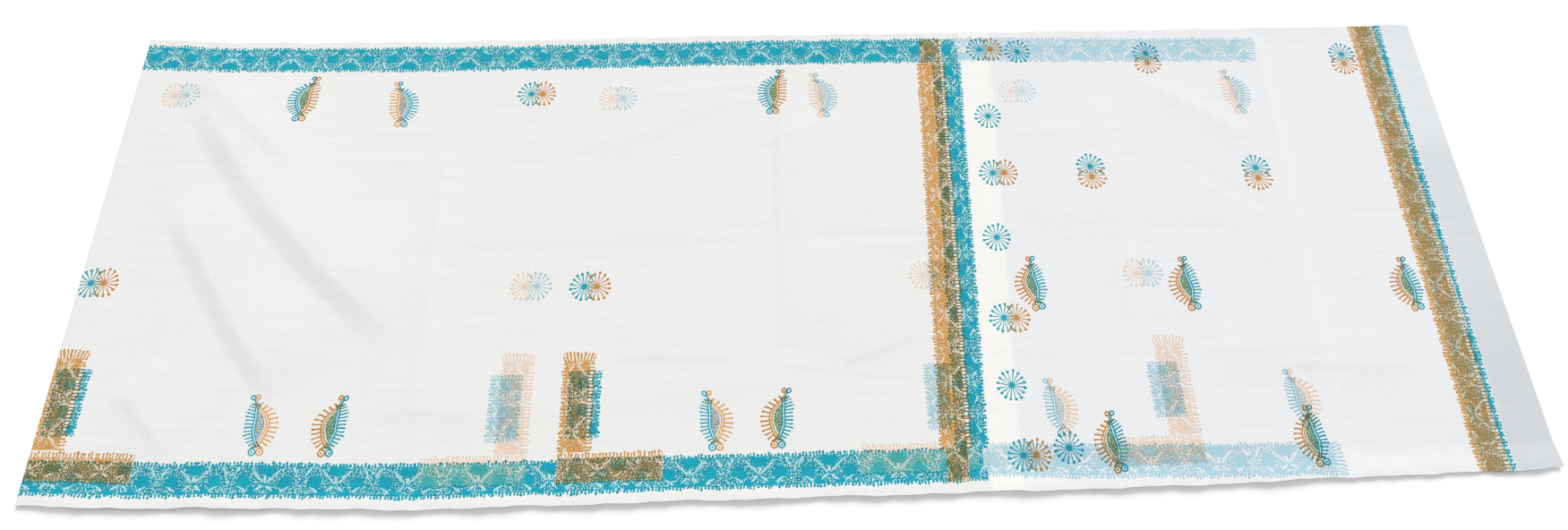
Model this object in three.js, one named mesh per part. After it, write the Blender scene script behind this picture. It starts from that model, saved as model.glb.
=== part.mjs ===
// A block-printed saree folded once across its length and laid out flat in two layers. Millimetres, +Z up.
// X runs along the cloth from the fold (-X) to the free end (+X), Y from its near edge to its far edge,
// and the origin is at the middle of the box on the surface that the cloth lies on.
import * as THREE from 'three';

// The laid cloth, and the walls it is made of.
const LAID_LENGTH = 3240;
const CLOTH_WIDTH = 1120;
const WALL = 1.2;
const SEAM_GAP = 0.3;
const UNDER_HEIGHT = 2.4;
const LAYERS_HEIGHT = UNDER_HEIGHT + SEAM_GAP;

// The soft fold at the left end: the cloth turns round it and runs a little way back along the surface.
const FOLD_RADIUS = 3.2;
const FOLD_RETURN = 9;
const FOLD_SETTLES = 110;
const FOLD_STEPS = 6;

// The seam between the body and the pallu, and the end of the hidden layer, both slightly out of square.
const SEAM_LINE = { x: 495, slope: 0.05 };
const UNDER_END_LINE = { x: 1176, slope: 0.045 };
const END_STEP_LENGTH = 34;

// The hidden layer stands out past the near edge by the fold and lies inside the other edges.
const UNDER_PEEK = { out: 4, from: -1560, to: -980, inside: 2.5 };
const RIM_BULGE = 0.9;

// How far the long edges stray from straight, at places along the cloth. Outwards is positive.
const NEAR_EDGE = [
  { x: -1620, out: -2 },
  { x: -1290, out: 10 },
  { x: -780, out: 25 },
  { x: -100, out: 22 },
  { x: 660, out: 20 },
  { x: 1330, out: 9 },
  { x: 1530, out: 7 },
  { x: 1620, out: 0 },
];
const FAR_EDGE = [
  { x: -1620, out: 0 },
  { x: -1320, out: -13 },
  { x: -880, out: -15 },
  { x: -60, out: -8 },
  { x: 850, out: -7 },
  { x: 1620, out: 0 },
];

// Broad swells that lift the cloth off the surface, round the middle of each.
const SWELLS = [
  { x: -1330, y: 120, reachX: 420, reachY: 480, rise: 3.4 },
  { x: -640, y: -80, reachX: 460, reachY: 400, rise: 1.6 },
  { x: 240, y: 140, reachX: 520, reachY: 360, rise: 1.5 },
  { x: 1010, y: 60, reachX: 420, reachY: 420, rise: 1.8 },
  { x: 1420, y: -260, reachX: 260, reachY: 260, rise: 1.1 },
];

// The main folds, each on a bent line from one end through a middle point to the other.
// A fold that rises is a ridge, and one with a negative rise is a trough.
const FOLDS = [
  { from: [-1490, 440], middle: [-1270, 40], to: [-930, -240], halfWidth: 44, rise: -3.6 },
  { from: [-1500, 470], middle: [-1330, 270], to: [-1150, 60], halfWidth: 40, rise: 3.8 },
  { from: [-1470, 90], middle: [-1320, -150], to: [-1150, -330], halfWidth: 38, rise: -2.8 },
  { from: [-1410, 70], middle: [-1260, -110], to: [-1080, -300], halfWidth: 36, rise: 2.6 },
  { from: [-1500, -300], middle: [-1420, -390], to: [-1340, -480], halfWidth: 40, rise: 2.2 },
  { from: [-1560, 330], middle: [-1500, 60], to: [-1540, -220], halfWidth: 42, rise: -2.0 },
  { from: [-840, 300], middle: [-836, -10], to: [-826, -470], halfWidth: 34, rise: 1.8 },
  { from: [-44, 460], middle: [-50, 40], to: [-50, -330], halfWidth: 34, rise: -1.6 },
  { from: [767, 400], middle: [770, 130], to: [745, -280], halfWidth: 34, rise: 1.6 },
  { from: [-1060, -10], middle: [-400, 8], to: [280, 6], halfWidth: 40, rise: -1.3 },
  { from: [430, 0], middle: [800, -6], to: [1100, -4], halfWidth: 40, rise: -1.2 },
  { from: [-540, 210], middle: [-330, 330], to: [-60, 440], halfWidth: 40, rise: 1.5 },
  { from: [870, 420], middle: [1010, 330], to: [1150, 210], halfWidth: 40, rise: 1.6 },
  { from: [-900, -400], middle: [-450, -350], to: [60, -300], halfWidth: 42, rise: 1.2 },
  { from: [860, -290], middle: [1120, -310], to: [1400, -320], halfWidth: 42, rise: 1.3 },
];
const FOLD_LINE_PIECES = 8;
const FOLD_FADES_OVER = 0.25;
const FLOOR_SOFTNESS = 0.5;

// Where the cloth lies flattest: its edges, its fold and its free end.
const EDGE_SETTLES = 90;
const EDGE_KEEPS = 0.3;
const FREE_END_SETTLES = 150;

// The mesh: rows of stations across the cloth and columns along each stretch.
const ROWS = 22;
const BODY_COLUMNS = 40;
const PALLU_COLUMNS = 13;
const END_STEPS = [0.25, 0.55, 1, 2.6];
const END_COLUMNS = 7;

const clamp01 = (t) => Math.min(1, Math.max(0, t));
const smooth = (t) => clamp01(t) ** 2 * (3 - 2 * clamp01(t));
const blend = (a, b, t) => a + (b - a) * t;

function alongTable(table, x) {
  const next = Math.max(1, table.findIndex((row) => row.x >= x));
  const [a, b] = [table[next - 1], table[next]];
  return blend(a.out, b.out, smooth((x - a.x) / (b.x - a.x)));
}

const nearestOut = Math.max(...NEAR_EDGE.map((row) => row.out));
const farthestOut = Math.max(...FAR_EDGE.map((row) => row.out));
const CENTRE_SHIFT = (nearestOut - farthestOut) / 2;

const nearEdge = (x) => CENTRE_SHIFT - CLOTH_WIDTH / 2 - alongTable(NEAR_EDGE, x);
const farEdge = (x) => CENTRE_SHIFT + CLOTH_WIDTH / 2 + alongTable(FAR_EDGE, x);
const acrossCloth = (x, share) => blend(nearEdge(x), farEdge(x), share);
const onLine = (line, share) => line.x + line.slope * CLOTH_WIDTH * (share - 0.5);

// The distance from a point to a fold's line, and how far along it the nearest point is.
function toFold(fold, x, y) {
  const at = (t) => [0, 1].map((k) =>
    (1 - t) ** 2 * fold.from[k] + 2 * t * (1 - t) * fold.middle[k] + t ** 2 * fold.to[k]);
  let best = { distance: Infinity, along: 0 };
  for (let i = 0; i < FOLD_LINE_PIECES; i++) {
    const [a, b] = [at(i / FOLD_LINE_PIECES), at((i + 1) / FOLD_LINE_PIECES)];
    const [dx, dy] = [b[0] - a[0], b[1] - a[1]];
    const t = clamp01(((x - a[0]) * dx + (y - a[1]) * dy) / (dx * dx + dy * dy));
    const distance = Math.hypot(x - a[0] - t * dx, y - a[1] - t * dy);
    if (distance < best.distance) best = { distance, along: (i + t) / FOLD_LINE_PIECES };
  }
  return best;
}

// The height of the cloth's folds over the flat stack, never below it.
function foldRelief(x, y) {
  let rise = 0;
  for (const s of SWELLS) {
    rise += s.rise * Math.exp(-(((x - s.x) / s.reachX) ** 2) - ((y - s.y) / s.reachY) ** 2);
  }
  for (const fold of FOLDS) {
    const { distance, along } = toFold(fold, x, y);
    const taper = smooth(along / FOLD_FADES_OVER) * smooth((1 - along) / FOLD_FADES_OVER);
    rise += fold.rise * taper * Math.exp(-((distance / fold.halfWidth) ** 2));
  }
  const toEdge = Math.min(y - nearEdge(x), farEdge(x) - y);
  rise *= blend(EDGE_KEEPS, 1, smooth(toEdge / EDGE_SETTLES));
  rise *= smooth((x + LAID_LENGTH / 2) / FOLD_SETTLES);
  rise *= blend(EDGE_KEEPS, 1, smooth((LAID_LENGTH / 2 - x) / FREE_END_SETTLES));
  return Math.max(0, (rise + Math.hypot(rise, FLOOR_SOFTNESS)) / 2 - FLOOR_SOFTNESS / 2);
}

// The underside of the upper cloth: over the hidden layer, then down to the surface past its end.
function undersideHeight(x, y, share) {
  const pastEnd = x - onLine(UNDER_END_LINE, share);
  const stack = LAYERS_HEIGHT * (1 - smooth(pastEnd / END_STEP_LENGTH));
  const puff = 2 * FOLD_RADIUS - WALL - LAYERS_HEIGHT;
  const foldPuff = puff * (1 - smooth((x + LAID_LENGTH / 2 - FOLD_RADIUS) / FOLD_SETTLES));
  return stack + foldPuff + foldRelief(x, y);
}

// A column is a line across the cloth: for each row, an upper and a lower point.
function flatColumn(xAt) {
  return Array.from({ length: ROWS + 1 }, (_, row) => {
    const share = row / ROWS;
    const x = xAt(share);
    const y = acrossCloth(x, share);
    const z = undersideHeight(x, y, share);
    return { upper: [x, y, z + WALL], lower: [x, y, z] };
  });
}

// The turn of the cloth round its fold, from the surface up to the top layer.
function foldColumns() {
  const centreX = -LAID_LENGTH / 2 + FOLD_RADIUS;
  const column = (x, angle) => Array.from({ length: ROWS + 1 }, (_, row) => {
    const y = acrossCloth(-LAID_LENGTH / 2, row / ROWS);
    const at = (radius) => [x - radius * Math.sin(angle), y, FOLD_RADIUS - radius * Math.cos(angle)];
    return { upper: at(FOLD_RADIUS), lower: at(FOLD_RADIUS - WALL) };
  });
  const turn = Array.from({ length: FOLD_STEPS }, (_, step) => column(centreX, (Math.PI * step) / FOLD_STEPS));
  return [column(centreX + FOLD_RETURN, 0), ...turn];
}

// A closed solid from columns of upper and lower points, with its rim bulged outwards by a given amount.
function solidFromColumns(columns, bulge = 0) {
  const positions = [];
  const indices = [];
  const rows = columns[0].length;
  const last = columns.length - 1;
  const addPoint = (point) => positions.push(...point) / 3 - 1;
  const upper = columns.map((column) => column.map((p) => addPoint(p.upper)));
  const lower = columns.map((column) => column.map((p) => addPoint(p.lower)));
  for (let i = 0; i < last; i++) {
    for (let j = 0; j < rows - 1; j++) {
      const [a, b, c, d] = [[i, j], [i + 1, j], [i + 1, j + 1], [i, j + 1]];
      const at = (grid, [column, row]) => grid[column][row];
      indices.push(at(upper, a), at(upper, b), at(upper, c), at(upper, a), at(upper, c), at(upper, d));
      indices.push(at(lower, a), at(lower, c), at(lower, b), at(lower, a), at(lower, d), at(lower, c));
    }
  }
  const rim = [];
  for (let i = 0; i < last; i++) rim.push([i, 0]);
  for (let j = 0; j < rows - 1; j++) rim.push([last, j]);
  for (let i = last; i > 0; i--) rim.push([i, rows - 1]);
  for (let j = rows - 1; j > 0; j--) rim.push([0, j]);
  const middle = bulge && rim.map(([i, j]) => {
    const { upper: high, lower: low } = columns[i][j];
    const out = [i === 0 ? -bulge : i === last ? bulge : 0, j === 0 ? -bulge : j === rows - 1 ? bulge : 0, 0];
    return addPoint(high.map((value, k) => (value + low[k]) / 2 + out[k]));
  });
  rim.forEach(([i, j], k) => {
    const next = (k + 1) % rim.length;
    const [ni, nj] = rim[next];
    const [top, bottom, topNext, bottomNext] = [upper[i][j], lower[i][j], upper[ni][nj], lower[ni][nj]];
    if (bulge) {
      const [mid, midNext] = [middle[k], middle[next]];
      indices.push(top, mid, topNext, topNext, mid, midNext, mid, bottom, midNext, midNext, bottom, bottomNext);
    } else {
      indices.push(top, bottom, bottomNext, top, bottomNext, topNext);
    }
  });
  const geometry = new THREE.BufferGeometry();
  geometry.setAttribute('position', new THREE.Float32BufferAttribute(positions, 3));
  geometry.setIndex(indices);
  geometry.computeVertexNormals();
  return geometry;
}

const cloth = (name, geometry, color) => {
  const mesh = new THREE.Mesh(geometry, new THREE.MeshStandardMaterial({ color, roughness: 0.85, metalness: 0 }));
  mesh.name = name;
  return mesh;
};

// The columns along the flat of the cloth: up to the seam, on to the hidden layer's end, and to the free end.
const flatStart = -LAID_LENGTH / 2 + FOLD_RADIUS;
const steps = (count, from, to) => Array.from({ length: count + 1 }, (_, i) => (share) =>
  blend(from(share), to(share), i / count));
const bodyPlaces = steps(BODY_COLUMNS, () => flatStart, (share) => onLine(SEAM_LINE, share));
const pastSeam = (share) => onLine(SEAM_LINE, share) + SEAM_GAP;
const palluPlaces = steps(PALLU_COLUMNS, pastSeam, (share) => onLine(UNDER_END_LINE, share));
const endStepPlaces = END_STEPS.map((part) => (share) => onLine(UNDER_END_LINE, share) + part * END_STEP_LENGTH);
const endPlaces = steps(END_COLUMNS, endStepPlaces.at(-1), () => LAID_LENGTH / 2).slice(1);

function bodyStretch() {
  return solidFromColumns([...foldColumns(), ...bodyPlaces.map(flatColumn)]);
}

function palluStretch() {
  return solidFromColumns([...palluPlaces, ...endStepPlaces, ...endPlaces].map(flatColumn));
}

// The hidden layer fills the space under the upper cloth, flat below, with its edges rounded and out of line.
function underLayers() {
  const startX = -LAID_LENGTH / 2 + FOLD_RADIUS + FOLD_RETURN + SEAM_GAP + RIM_BULGE;
  const start = bodyPlaces.findIndex((place) => place(0.5) > startX);
  const places = [() => startX, ...bodyPlaces.slice(start), ...palluPlaces.slice(1)];
  const columns = places.map((place) => flatColumn(place).map(({ lower: [x, y, z] }, row) => {
    const peek = smooth((x - UNDER_PEEK.from) / 60) * smooth((UNDER_PEEK.to - x) / 200);
    const nearOut = blend(-UNDER_PEEK.inside, UNDER_PEEK.out, peek);
    const shift = row === 0 ? -nearOut : row === ROWS ? -UNDER_PEEK.inside : 0;
    return { upper: [x, y + shift, z - SEAM_GAP], lower: [x, y + shift, 0] };
  }));
  return solidFromColumns(columns, RIM_BULGE);
}

const saree = new THREE.Group();
saree.name = 'saree';
saree.add(
  cloth('body_stretch', bodyStretch(), '#f1f1ee'),
  cloth('pallu_stretch', palluStretch(), '#f0f1f3'),
  cloth('under_layers', underLayers(), '#e6e8e9'),
);

export default saree;
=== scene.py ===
"""A block-printed saree, folded once across its length and laid flat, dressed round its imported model."""

import math
from functools import reduce

import bpy
import numpy as np
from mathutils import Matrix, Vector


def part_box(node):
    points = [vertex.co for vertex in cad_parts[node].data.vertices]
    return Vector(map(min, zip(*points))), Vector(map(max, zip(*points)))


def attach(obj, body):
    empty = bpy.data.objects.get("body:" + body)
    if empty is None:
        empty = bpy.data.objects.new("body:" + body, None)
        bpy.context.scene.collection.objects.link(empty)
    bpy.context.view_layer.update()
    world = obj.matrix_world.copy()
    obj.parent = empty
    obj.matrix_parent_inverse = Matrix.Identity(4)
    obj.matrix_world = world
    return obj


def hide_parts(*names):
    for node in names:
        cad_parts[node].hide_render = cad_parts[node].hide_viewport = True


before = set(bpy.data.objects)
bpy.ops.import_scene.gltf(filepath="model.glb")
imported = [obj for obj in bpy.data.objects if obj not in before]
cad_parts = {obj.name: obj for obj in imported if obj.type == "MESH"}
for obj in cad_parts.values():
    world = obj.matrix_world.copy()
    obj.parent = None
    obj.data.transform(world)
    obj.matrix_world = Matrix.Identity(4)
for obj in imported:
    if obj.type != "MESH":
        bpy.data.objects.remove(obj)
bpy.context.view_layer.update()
body_low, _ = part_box("body_stretch")
_, pallu_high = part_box("pallu_stretch")

bl_info = {
    "name": "Laid-out saree",
    "version": (1, 0, 0),
    "blender": (4, 5, 0),
    "location": "3D View > Sidebar > Saree",
    "description": "Builds a printed saree laid out in two layers on its packed model",
    "category": "Object",
}

# The cloth's sizes in metres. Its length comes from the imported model.
LEFT_END = body_low.x
RIGHT_END = pallu_high.x
WOVEN_WIDTH = 1.12
# The solids' wall, whose top the upper cloth's face follows, and the height of the layers beneath it.
WALL = 0.0012
LAYERS_HEIGHT = 0.0027
# The fold at the left end: its outer radius, the cloth it turns back below, and where its puff has settled.
FOLD_RADIUS = 0.0032
FOLD_RETURN = 0.009
FOLD_ANGLES = 13
FOLD_SETTLES = 0.11
# The step down past the hidden layer's end, and the room between that layer and the fold.
END_STEP_LENGTH = 0.034
RIM_IN = 0.001
# Lines across the cloth: (x at the middle, slope).
SEAM_LINE = (0.495, 0.05)
UNDER_END_LINE = (1.176, 0.045)

# How far the long edges stray from straight, at places along the cloth: (x, outwards).
NEAR_EDGE = [
    (-1.62, -0.002),
    (-1.29, 0.010),
    (-0.78, 0.025),
    (-0.10, 0.022),
    (0.66, 0.020),
    (1.33, 0.009),
    (1.53, 0.007),
    (1.62, 0.0),
]
FAR_EDGE = [
    (-1.62, 0.0),
    (-1.32, -0.013),
    (-0.88, -0.015),
    (-0.06, -0.008),
    (0.85, -0.007),
    (1.62, 0.0),
]
EDGE_MIDDLE = (max(out for _, out in NEAR_EDGE) - max(out for _, out in FAR_EDGE)) / 2

# Broad swells: (x, y, reach along, reach across, rise).
SWELLS = [
    (-1.33, 0.12, 0.42, 0.48, 0.0034),
    (-0.64, -0.08, 0.46, 0.40, 0.0016),
    (0.24, 0.14, 0.52, 0.36, 0.0015),
    (1.01, 0.06, 0.42, 0.42, 0.0018),
    (1.42, -0.26, 0.26, 0.26, 0.0011),
]

# The main folds, on bent lines: (from, middle, to, half width, rise). A trough has a negative rise.
FOLDS = [
    ((-1.50, -0.30), (-1.42, -0.39), (-1.34, -0.48), 0.040, 0.0012),
    ((-1.56, 0.33), (-1.50, 0.06), (-1.54, -0.22), 0.042, -0.0020),
    ((-0.84, 0.30), (-0.836, -0.01), (-0.826, -0.47), 0.034, 0.0018),
    ((-0.044, 0.46), (-0.05, 0.04), (-0.05, -0.33), 0.034, -0.0016),
    ((0.767, 0.40), (0.77, 0.13), (0.745, -0.28), 0.034, 0.0016),
    ((-1.06, -0.01), (-0.40, 0.008), (0.28, 0.006), 0.040, -0.0005),
    ((0.43, 0.0), (0.80, -0.006), (1.10, -0.004), 0.040, -0.0012),
    ((-0.54, 0.21), (-0.33, 0.33), (-0.06, 0.44), 0.040, 0.0015),
    ((0.87, 0.42), (1.01, 0.33), (1.15, 0.21), 0.040, 0.0016),
    ((-0.90, -0.40), (-0.45, -0.35), (0.06, -0.30), 0.042, 0.0012),
    ((0.86, -0.29), (1.12, -0.31), (1.40, -0.32), 0.042, 0.0013),
]

# The ridges that fall away steeply on one side: (from, middle, to, half the steep side, rise).
STEEP_RIDGES = [
    ((-1.500, 0.440), (-1.285, 0.06), (-0.870, -0.255), 0.024, 0.0088),
    ((-1.490, 0.150), (-1.31, -0.15), (-1.130, -0.365), 0.020, 0.0070),
    ((-1.520, 0.480), (-1.36, 0.35), (-1.180, 0.190), 0.015, 0.0028),
    ((-1.500, -0.290), (-1.42, -0.39), (-1.340, -0.470), 0.020, 0.0034),
    ((-0.044, 0.457), (-0.054, 0.05), (-0.050, -0.329), 0.008, 0.0030),
    ((-0.955, -0.384), (-0.82, -0.380), (-0.682, -0.390), 0.009, 0.0014),
    ((-0.436, -0.272), (-0.28, -0.268), (-0.118, -0.280), 0.009, 0.0016),
    ((0.060, -0.300), (0.18, -0.275), (0.290, -0.215), 0.009, 0.0018),
    ((0.856, -0.290), (1.06, -0.278), (1.269, -0.281), 0.009, 0.0014),
    ((1.036, -0.325), (1.22, -0.318), (1.405, -0.329), 0.009, 0.0012),
    ((-1.069, -0.009), (-0.57, 0.002), (-0.058, 0.006), 0.008, 0.0008),
]
# How far their gentle side reaches.
GENTLE_SIDE = 0.15

# The finer creases, in the same columns as the main folds.
CREASES = [
    ((-1.472, -0.333), (-1.41, -0.40), (-1.353, -0.453), 0.013, -0.0010),
    ((-1.407, -0.098), (-1.40, -0.21), (-1.409, -0.312), 0.014, 0.0009),
    ((-1.233, -0.027), (-1.25, -0.20), (-1.231, -0.377), 0.015, 0.0010),
    ((-0.840, 0.295), (-0.842, 0.0), (-0.827, -0.467), 0.010, 0.0010),
    ((-0.461, 0.551), (-0.46, 0.35), (-0.442, 0.171), 0.010, 0.0005),
    ((0.767, 0.402), (0.776, 0.10), (0.744, -0.269), 0.010, 0.0007),
    ((-0.058, 0.006), (0.20, 0.012), (0.57, 0.002), 0.009, -0.0008),
    ((0.57, 0.002), (0.80, 0.004), (1.038, -0.003), 0.009, 0.0006),
    ((-1.201, 0.223), (-1.03, 0.226), (-0.857, 0.217), 0.010, 0.0006),
    ((-1.054, 0.302), (-0.95, 0.305), (-0.841, 0.298), 0.009, 0.0006),
    ((-1.615, 0.320), (-1.56, 0.324), (-1.513, 0.318), 0.008, 0.0005),
    ((-1.521, -0.269), (-1.47, -0.266), (-1.421, -0.271), 0.009, 0.0005),
    ((-0.057, -0.285), (0.02, -0.300), (0.100, -0.300), 0.010, 0.0006),
    ((0.502, 0.279), (0.62, 0.283), (0.747, 0.275), 0.009, 0.0006),
    ((1.554, 0.189), (1.59, 0.190), (1.618, 0.188), 0.008, -0.0006),
    ((1.518, -0.415), (1.57, -0.413), (1.618, -0.418), 0.008, -0.0006),
    ((-0.453, 0.386), (-0.26, 0.40), (-0.058, 0.431), 0.012, 0.0007),
    ((-0.537, 0.216), (-0.49, 0.235), (-0.447, 0.262), 0.010, -0.0006),
    ((-0.105, 0.256), (0.0, 0.28), (0.095, 0.327), 0.011, 0.0007),
    ((0.873, 0.416), (1.01, 0.34), (1.133, 0.246), 0.014, 0.0009),
    ((0.920, 0.189), (1.05, 0.12), (1.159, 0.031), 0.013, -0.0008),
    ((-1.58, 0.50), (-1.44, 0.505), (-1.30, 0.49), 0.012, 0.0009),
    ((1.19, 0.50), (1.21, 0.30), (1.18, 0.08), 0.011, 0.0007),
]
# Where the folds die away by the edges and ends, what they keep there, and how softly they meet the floor.
EDGE_SETTLES = 0.09
EDGE_KEEPS = 0.3
FREE_END_SETTLES = 0.15
FLOOR_SOFTNESS = 0.0005
# A fold's bent line is cut into pieces, and the fold dies away over this share of it at both ends.
FOLD_LINE_PIECES = 8
FOLD_FADES_OVER = 0.25
# Room for the finer creases that go down.
FINE_LIFT = 0.0009
# How far in from a long edge its waves reach, and each edge's lift: (how far in, rise, the waves' share).
EDGE_WAVES_IN = 0.06
FOLD_WAVES_IN = 0.05
NEAR_LIFT = (0.060, 0.0050, 0.9)
FAR_LIFT = (0.045, 0.0008, 0.6)
# The waves of a woven edge: (wave length, height).
EDGE_WAVES = [(0.31, 0.0011), (0.17, 0.0009), (0.083, 0.0006), (0.041, 0.0003)]
# The hidden layer, and where its near edge peeks out: (from, over, to, over, tucked back, out).
UNDER_TOP = 0.0014
UNDER_FOLLOWS = 0.35
UNDER_PEEK = (-1.56, 0.06, -0.98, 0.2, -0.0025, 0.0065)
UNDER_PEEK_IN = 0.03

# The band's block: its repeat, where it starts in each band, its beads, dots, scallops and lashed ends.
BAND_REPEAT = 0.1465
BAND_HALF = 0.0345
NEAR_PHASE = -0.5384
FAR_PHASE = -0.6710
CROSS_PHASE = 0.3800
END_PHASE = 0.5600
BAND_BEAD = BAND_REPEAT / 20
BAND_DOT = 0.0044
BAND_SCALLOP = 0.0018
END_LASH = 0.026
END_STROKE = 0.0066
END_FANS = 0.30
# Its solid petals and its daisy: (along from the repeat's middle, across, reach along, reach across).
PETALS = [
    (0.0, 0.0210, 0.0180, 0.0120),
    (0.0435, -0.0050, 0.0135, 0.0140),
    (0.0225, -0.0245, 0.0110, 0.0085),
]
DAISY = (BAND_REPEAT / 2, 0.0030, 0.0150, 0.0150)
# Its pale leaves: (start, turn in degrees, length, half width).
LEAVES = [
    ((0.0015, -0.0070), 44, 0.040, 0.0016),
    ((0.0020, -0.0090), -38, 0.020, 0.0012),
    ((0.0, -0.0080), 84, 0.015, 0.0010),
    ((0.0320, -0.0240), 30, 0.022, 0.0012),
    ((0.0540, 0.0290), -62, 0.024, 0.0012),
]
# How each dye's bands are cut: (petals' solidness, ink in the pale dots, length of the opening lashes).
TEAL_CUT = (0.30, 0.08, 0.0)
ORANGE_CUT = (0.12, 0.13, 0.006)

# A flower: its looped spokes, their reach and its variation, and its heart, with a pair's two hearts apart.
FLOWER_SPOKES = 16
SPOKE_REACH = 0.0262
SPOKE_VARIES = 0.0050
SPOKE_LOOP = 0.0018
LOOP_OUT = 0.0022
HEART_EYE = 0.0032
PAIR_APART = 0.0140

# A paisley: its arcs, its lean, its lashes, which are finer on one side, and its inner leaf of small dots.
PAISLEY_HALF = 0.0445
PAISLEY_BULGE_LEFT = 0.0205
PAISLEY_BULGE_RIGHT = 0.0125
PAISLEY_OFFSET = 0.0045
LASH_PITCH = 0.0068
LASH_PITCH_WIDE = 0.0012
LASH_SHORTEST = 0.0060
LASH_VARIES = 0.0034
LASH_LEFT = 0.0105
LASH_RIGHT = 0.0092
LASH_HEAD = 0.0009
LASH_HEAD_WIDE = 0.0004
LASHES_PAST = 1.06
INNER_LINE_IN = 0.0052
LEAF_IN_LEFT = 0.0085
LEAF_IN_RIGHT = 0.0062
LEAF_DOT = 0.0034
# Its curls at the head and foot: (x, y, radius, dot inside or 0), first those of its left side.
CURLS = [
    (-0.0050, 0.0600, 0.0042, 0.0),
    (-0.0080, -0.0545, 0.0066, 0.0022),
    (0.0060, 0.0590, 0.0045, 0.0),
    (0.0080, -0.0550, 0.0068, 0.0024),
]

# The strokes' half widths, where the ink ends and where it's full.
SPOKE_END = (0.0, -0.0012)
LASH_STROKE = (0.0020, 0.0011)
OUTER_LINE = (0.0022, 0.0012)
INNER_LINE = (0.0019, 0.0009)
TAIL_STROKE = (0.0020, 0.0010)
CURL_STROKE = (0.0021, 0.0011)
VEIN_STROKE = (0.0013, 0.0005)
BEAD_ROUND = (0.0036, 0.0024)
STALK_STROKE = (0.0020, 0.0011)
END_STROKE_WIDTH = (0.0022, 0.0012)
# How far a hand-cut block's lines stray, and the size of their wander: (amount, size).
BAND_STRAYS = (0.0044, 0.0080)
MOTIF_STRAYS = (0.0026, 0.0090)
# Added to a count before it picks a random number, so that the count stays above zero.
COUNT_FROM = 40.0

# The dyes, thin as lines and thick as solid petals, where they overlap, and the cloth's own colours.
TEAL_LINE = (0.010, 0.355, 0.475, 1.0)
TEAL_SOLID = (0.014, 0.420, 0.585, 1.0)
ORANGE_LINE = (0.690, 0.335, 0.090, 1.0)
ORANGE_SOLID = (0.740, 0.370, 0.100, 1.0)
OLIVE_DYE = (0.122, 0.136, 0.050, 1.0)
DEEP_DYE = (0.050, 0.125, 0.105, 1.0)
BODY_WHITE = (0.800, 0.800, 0.785, 1.0)
PALLU_WHITE = (0.795, 0.800, 0.812, 1.0)
STRIP_WHITE = (0.872, 0.866, 0.838, 1.0)
MARGIN_WHITE = (0.740, 0.760, 0.775, 1.0)
# The end margin's colour, and the darker one it turns to towards the near edge.
MARGIN_DARKER_NEAR = (0.620, 0.645, 0.670, 1.0)
SLUB_GREY = (0.55, 0.55, 0.55, 1.0)
# The weave: its thread, and the heights of its threads, slubs and two ways of fine crumpling.
THREAD = 0.0007
THREAD_RISE = 0.00003
SLUB_RISE = 0.0001
CRUMPLE_ALONG = 0.0013
CRUMPLE_ACROSS = 0.0010

# The printed bands: borders by the distance from their edge, those across by x at the middle, then slopes.
NEAR_BORDER = 0.0555
FAR_BORDER = 0.0510
HIDDEN_NEAR_BORDER = (0.0770, -0.034)
HIDDEN_FAR_BORDER = (0.0410, 0.020)
CROSS_ORANGE = (0.3360, 0.033)
CROSS_TEAL = (0.3725, 0.040)
END_ORANGE = (1.4820, 0.022)
END_TEAL = (1.4950, 0.026)
# How strongly a print shows that lies on the hidden layer, or, in the end band, below the orange.
HIDDEN_TEAL = 0.52
HIDDEN_ORANGE = 0.46
HIDDEN_STRIP = 0.56
END_TEAL_COVERED = 0.42
# A stronger print than this dyes the cloth deeper where it is thick, and a weaker one only tints it.
FRESH_FROM = 0.57
# The scattered motifs' orange is laid on thicker, and their faded orange is paler.
ORANGE_MOTIF_DEPTH = 1.25
HIDDEN_MOTIF_ORANGE = 0.85
# Over a border a cross band is narrower by this on each side, and a foot is narrower by this factor.
BORDER_KEEPS = 0.008
FOOT_SQUEEZE = 1.16
# The depth inside an end is multiplied by these, which leaves it hardly any lashes, or short ones.
PLAIN_END = 8.0
SHORT_END = 2.5
# How far past a print's edge its faces are still chosen.
BORDER_SPARE = 0.02
BLOCK_SPARE = 0.012
STRIP_SPARE = 0.01
HEEL_SPARE = 0.004
CROSS_SPARE = 0.006

# The corner blocks: (x of the leg, half width, top of the leg, foot's far end, foot's height, strength).
CORNER_BLOCKS = [
    (-1.588, 0.0335, 0.328, -1.400, 0.0775, 1.0),
    (-0.490, 0.0360, 0.318, -0.303, 0.0720, 1.0),
    (-0.623, 0.0350, 0.320, -0.811, 0.0720, HIDDEN_ORANGE),
    (0.330, 0.0350, 0.320, 0.115, 0.0720, HIDDEN_ORANGE),
    (0.820, 0.0350, 0.322, 0.652, 0.0725, HIDDEN_ORANGE),
]

# The teal strips laid over their legs: (x, half width, lower end, upper end, strength).
LEG_STRIPS = [
    (-1.574, 0.0345, 0.138, 0.285, 1.0),
    (-0.475, 0.0345, 0.130, 0.276, 1.0),
    (-0.645, 0.0345, 0.128, 0.272, HIDDEN_STRIP),
    (0.300, 0.0345, 0.128, 0.272, HIDDEN_STRIP),
    (0.796, 0.0345, 0.140, 0.262, HIDDEN_STRIP),
]

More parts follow.
